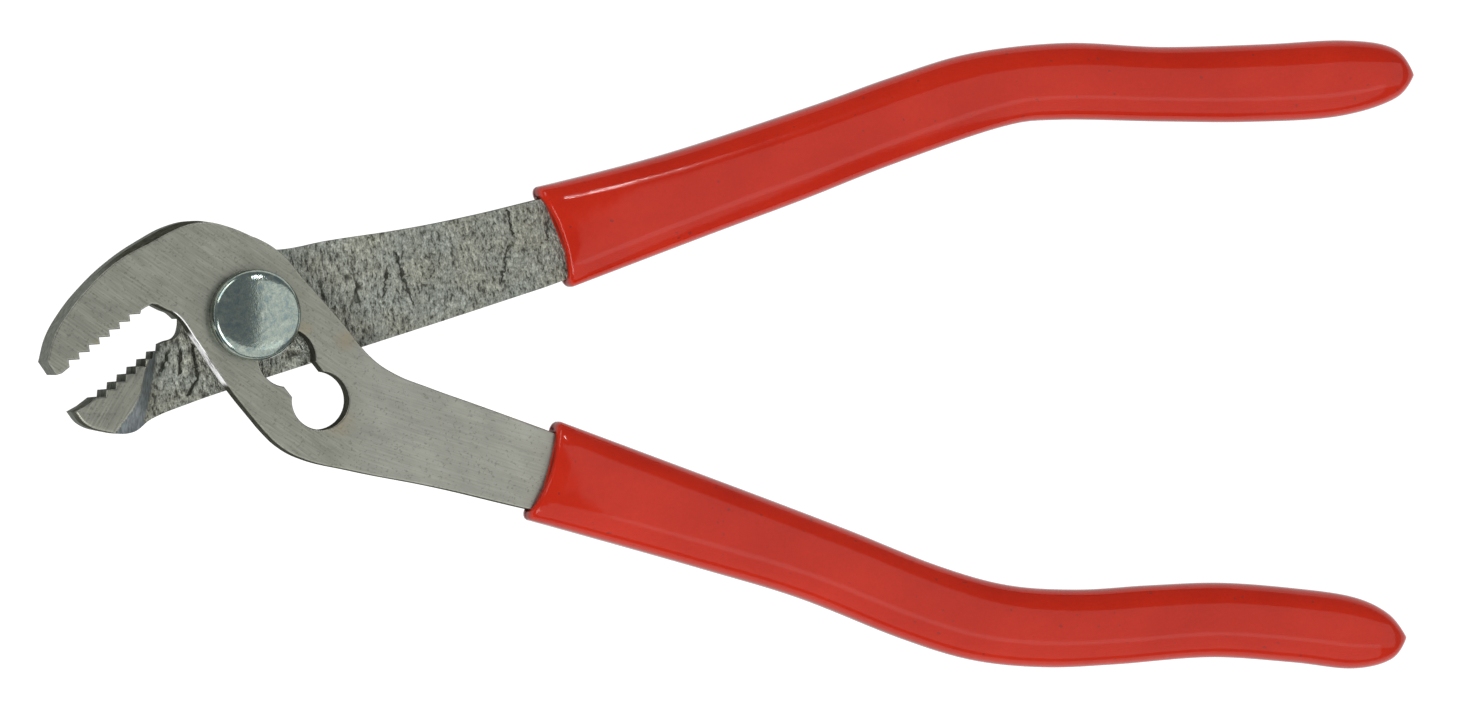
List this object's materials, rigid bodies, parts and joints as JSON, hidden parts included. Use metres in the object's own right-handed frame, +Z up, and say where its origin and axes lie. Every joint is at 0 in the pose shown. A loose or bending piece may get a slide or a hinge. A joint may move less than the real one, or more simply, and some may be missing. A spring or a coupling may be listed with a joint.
{
  "type": "tongue and groove pliers",
  "caption": "Small adjustable joint pliers: two flat steel levers with toothed curved jaws, a slotted sliding pivot with domed bolt and hex nut, and dipped plastic grips.",
  "frame": {"origin": "middle of the tool's box at its lowest level, the surface it lies on", "axes": "+Z up, out of the front lever's face; +X from the jaws to the handles' ends; +Y from the front handle to the rear handle"},
  "size_m": [0.1254, 0.0564, 0.0091],
  "materials": {
    "brushed_steel": "ground and lightly brushed",
    "forged_steel": "plated over a pitted forged surface",
    "red_plastic": "dipped, smooth and semi-gloss",
    "zinc_plate": "bright zinc plate"
  },
  "bodies": {
    "front_handle": {"front_lever": "brushed_steel", "front_grip": "red_plastic"},
    "pivot": {"pivot_bolt": "zinc_plate", "pivot_nut": "zinc_plate"},
    "rear_handle": {"rear_lever": "forged_steel", "rear_grip": "red_plastic"}
  },
  "joints": [
    {"name": "slot_slide", "type": "slide", "parent": "front_handle", "child": "pivot", "axis": [0.6216, -0.7834, 0], "range_m": [0, 0.00957]},
    {"name": "handle_hinge", "type": "hinge", "parent": "pivot", "child": "rear_handle", "pos_m": [-0.04435, 0.00345, 0.0045], "axis": [0, 0, 1], "range_deg": [-8, 45]}
  ]
}
